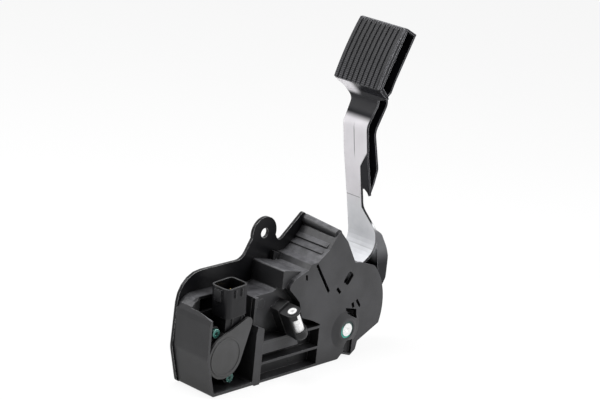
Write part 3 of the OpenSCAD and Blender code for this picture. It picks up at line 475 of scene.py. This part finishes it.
def arm_finish():
    """Nearly black glossy moulding with painted reflection, painted neck sheen and painted rim highlight."""
    material, tree, shader = new_material("arm_moulding")
    where = object_place(tree)
    normal, on_edge = rounded_edges(tree, 0.0009)
    place = coordinates(tree, where)
    facing_x, _, place["facing_z"] = parts_of(tree, normal)
    front_x = profile(tree, place["z"], ARM_FRONT)
    at_front = span(tree, calc(tree, "SUBTRACT", place["x"], front_x), *FRONT_LIMITS)
    tread_face = product(tree, span(tree, facing_x, *TREAD_FACING), at_front)
    dark = mottle(tree, where, (0.006, 0.006, 0.008), (0.01, 0.01, 0.013), ARM_CLOUDS)
    # Painted sheen on the neck
    sheen = product(tree, zone(tree, place, *NECK_SHEEN), at_front)
    dark = blend_colour(tree, sheen, dark, (0.045, 0.045, 0.048))
    # Painted highlight on the near rim's edges
    rim = product(tree, on_edge, zone(tree, place, NEAR_RIM), inverse(tree, tread_face))
    dark = blend_colour(tree, rim, dark, (0.4, 0.4, 0.42))
    # The painted reflection's tones, warmer above and cooler below
    warm = mottle(tree, where, (0.66, 0.64, 0.67), (0.78, 0.76, 0.79), ARM_CLOUDS)
    cool = mottle(tree, where, (0.64, 0.65, 0.68), (0.82, 0.83, 0.85), ARM_CLOUDS)
    light = blend_colour(tree, zone(tree, place, COOL_BELOW), warm, cool)
    colour = blend_colour(tree, painted_reflection_share(tree, place, tread_face, on_edge), dark, light)
    tree.links.new(colour, shader.inputs["Base Color"])
    fine = noise(tree, where, 900.0, 2.0)
    tree.links.new(relief(tree, fine, 0.1, 0.0001, normal), shader.inputs["Normal"])
    shader.inputs["Roughness"].default_value = 0.25
    shader.inputs["Specular IOR Level"].default_value = 0.15
    return material


# Each edge colour below is a painted highlight on the edges; the grey moulding also takes painted top light
# and painted shade
GREY_MOULDING = surface(
    "grey_moulding", dark=(0.027, 0.027, 0.029), light=(0.04, 0.04, 0.043), edge=(0.15, 0.15, 0.155),
    roughness=0.38, grain=1400.0, bump=0.4, specular=0.3, top_highlight=(0.125, 0.125, 0.134), shade=painted_housing_shade)
BLACK_MOULDING = surface(
    "black_moulding", dark=(0.008, 0.008, 0.009), light=(0.013, 0.013, 0.015), edge=(0.2, 0.2, 0.205),
    roughness=0.3, grain=1400.0, bump=0.3, specular=0.22)
COVER_MOULDING = surface(
    "cover_moulding", dark=(0.042, 0.042, 0.042), light=(0.056, 0.056, 0.058), edge=(0.09, 0.09, 0.09),
    roughness=0.5, grain=1500.0, bump=0.4, specular=0.35)
COATED_SHEET = surface(
    "coated_sheet", dark=(0.004, 0.004, 0.005), light=(0.007, 0.007, 0.008), edge=(0.45, 0.45, 0.45),
    roughness=0.3, grain=1100.0, bump=0.3, specular=0.2, radius=0.001)
RUBBER = surface(
    "rubber", dark=(0.014, 0.014, 0.016), light=(0.022, 0.022, 0.025), edge=(0.04, 0.04, 0.042),
    roughness=0.5, grain=1800.0, bump=0.6)
PALE_PLASTIC = surface(
    "pale_plastic", dark=(0.5, 0.46, 0.36), light=(0.62, 0.58, 0.48), edge=(0.66, 0.62, 0.54),
    roughness=0.5, grain=900.0, bump=0.2)
WASHER = surface(
    "washer", dark=(0.012, 0.012, 0.013), light=(0.02, 0.02, 0.022), edge=(0.03, 0.03, 0.03),
    roughness=0.5, grain=900.0, bump=0.3)
COATED_SCREW = surface(
    "coated_screw", dark=(0.01, 0.06, 0.05), light=(0.05, 0.24, 0.2), edge=(0.6, 0.9, 0.84),
    roughness=0.22, grain=420.0, bump=0.4, metallic=0.3)
BOARD = surface(
    "board", dark=(0.01, 0.06, 0.02), light=(0.03, 0.12, 0.05), edge=(0.06, 0.16, 0.08),
    roughness=0.4, grain=800.0, bump=0.2)
BRIGHT_STEEL = brushed("bright_steel", (0.78, 0.78, 0.78), (0.93, 0.93, 0.93), 0.2)
ZINC = brushed("zinc_plate", (0.7, 0.7, 0.7), (0.86, 0.86, 0.86), 0.35, metallic=0.35)
SPRING_STEEL = brushed("spring_steel", (0.3, 0.3, 0.32), (0.5, 0.5, 0.52), 0.3)
BRASS = brushed("brass", (0.6, 0.45, 0.18), (0.8, 0.62, 0.28), 0.25)
BUSH = bush_finish()

FINISH = {
    "mounting_plate": COATED_SHEET,
    "housing": GREY_MOULDING,
    "near_bush": BUSH,
    "far_bush": BUSH,
    "plate_screws": BRIGHT_STEEL,
    "slanted_pin": pin_finish(),
    "rest_bumper": RUBBER,
    "travel_bumper": RUBBER,
    "spring_cap": PALE_PLASTIC,
    "outer_return_spring": SPRING_STEEL,
    "inner_return_spring": SPRING_STEEL,
    "sensor_body": BLACK_MOULDING,
    "sensor_cover": COVER_MOULDING,
    "sensor_screws": COATED_SCREW,
    "connector_pins": BRASS,
    "sensor_board": BOARD,
    "rotor_seal": RUBBER,
    "pedal_arm": arm_finish(),
    "pedal_pad": tread_finish(),
    "pivot_shaft": ZINC,
    "friction_washer": WASHER,
    "disc_spring": SPRING_STEEL,
    "spring_seat": PALE_PLASTIC,
    "crank_stud": BRIGHT_STEEL,
    "drive_link": BLACK_MOULDING,
    "link_clip": SPRING_STEEL,
    "sensor_rotor": BLACK_MOULDING,
    "rotor_magnet": SPRING_STEEL,
    "lever_stud": BRIGHT_STEEL,
}
for name, material in FINISH.items():
    mesh = nodes[name].data
    mesh.materials.clear()
    mesh.materials.append(material)


# Added piece

def foot_web():
    """A thin dished web that closes the recess in the outer cheek under the pivot boss."""
    rings = ((WEB_BACK, WEB_EDGE), (WEB_FACE, WEB_EDGE), (WEB_FACE, WEB_RIM), (WEB_DISH, WEB_FLOOR))
    build = bmesh.new()
    loops = [[build.verts.new((x, -across, z)) for x, z in corners] for across, corners in rings]
    for inner, outer in zip(loops, loops[1:]):
        for i in range(len(inner)):
            j = (i + 1) % len(inner)
            build.faces.new((inner[i], inner[j], outer[j], outer[i]))
    build.faces.new(loops[0])
    build.faces.new(loops[-1])
    bmesh.ops.recalc_face_normals(build, faces=build.faces)
    mesh = bpy.data.meshes.new("foot_web")
    build.to_mesh(mesh)
    build.free()
    mesh.materials.append(BLACK_MOULDING)
    piece = bpy.data.objects.new("foot_web", mesh)
    bpy.context.scene.collection.objects.link(piece)
    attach(piece, "base")


foot_web()


# Studio

def area_lamp(name, place, size, power):
    lamp = bpy.data.lights.new(name, "AREA")
    lamp.shape = "SQUARE"
    lamp.size = size
    lamp.energy = power
    holder = bpy.data.objects.new(name, lamp)
    holder.location = place
    aim = (Vector(LAMP_TARGET) - Vector(place)).to_track_quat("-Z", "Y")
    holder.rotation_euler = aim.to_euler()
    bpy.context.scene.collection.objects.link(holder)


def seen_directly(tree, share):
    """share where the camera, a reflection or glass sees this surface, else 0."""
    path = tree.nodes.new("ShaderNodeLightPath")
    rays = (path.outputs[f"Is {kind} Ray"] for kind in ("Camera", "Glossy", "Transmission"))
    return product(tree, largest(tree, *rays), share)


def mix_shaders(tree, factor, a, b, target):
    mix = tree.nodes.new("ShaderNodeMixShader")
    tree.links.new(factor, mix.inputs["Fac"])
    tree.links.new(a, mix.inputs[1])
    tree.links.new(b, mix.inputs[2])
    tree.links.new(mix.outputs["Shader"], target)


def white_world():
    """Plain white where it is seen, and a dimmer white as light."""
    world = bpy.data.worlds.new("studio")
    world.use_nodes = True
    bpy.context.scene.world = world
    tree = world.node_tree
    ambient = tree.nodes["Background"]
    ambient.inputs["Color"].default_value = (1, 1, 1, 1)
    ambient.inputs["Strength"].default_value = AMBIENT_LIGHT
    white = tree.nodes.new("ShaderNodeBackground")
    white.inputs["Color"].default_value = (1, 1, 1, 1)
    white.inputs["Strength"].default_value = 1.0
    mix_shaders(tree, seen_directly(tree, 1.0), ambient.outputs["Background"],
                white.outputs["Background"], tree.nodes["World Output"].inputs["Surface"])


def pale_floor():
    """Lies just under the lowest point and keeps a faint shadow."""
    signs = ((-1, -1), (1, -1), (1, 1), (-1, 1))
    corners = [(FLOOR_REACH * x, FLOOR_REACH * y, FLOOR_Z) for x, y in signs]
    mesh = bpy.data.meshes.new("floor")
    mesh.from_pydata(corners, [], [(0, 1, 2, 3)])
    obj = bpy.data.objects.new("floor", mesh)
    bpy.context.scene.collection.objects.link(obj)
    material, tree, shader = new_material("floor")
    shader.inputs["Base Color"].default_value = (0.95, 0.95, 0.95, 1)
    shader.inputs["Roughness"].default_value = 0.9
    shader.inputs["Specular IOR Level"].default_value = 0.1
    glow = tree.nodes.new("ShaderNodeEmission")
    glow.inputs["Color"].default_value = (1, 1, 1, 1)
    glow.inputs["Strength"].default_value = 1.0
    mix_shaders(tree, seen_directly(tree, FLOOR_WHITE_SHARE), shader.outputs["BSDF"],
                glow.outputs["Emission"], tree.nodes["Material Output"].inputs["Surface"])
    mesh.materials.append(material)


def photo_camera():
    right, up, forward = (Vector(axis) for axis in (CAMERA_RIGHT, CAMERA_UP, CAMERA_FORWARD))
    data = bpy.data.cameras.new("camera")
    data.sensor_width = CAMERA_SENSOR
    data.lens = CAMERA_LENS
    camera = bpy.data.objects.new("camera", data)
    turn = Matrix((right, up, -forward)).transposed()
    camera.matrix_world = Matrix.Translation(CAMERA_PLACE) @ turn.to_4x4()
    bpy.context.scene.collection.objects.link(camera)
    bpy.context.scene.camera = camera


white_world()
pale_floor()
for name, place, size, power in LAMPS:
    area_lamp(name, place, size, power)
photo_camera()
bpy.context.scene.view_settings.view_transform = "Standard"
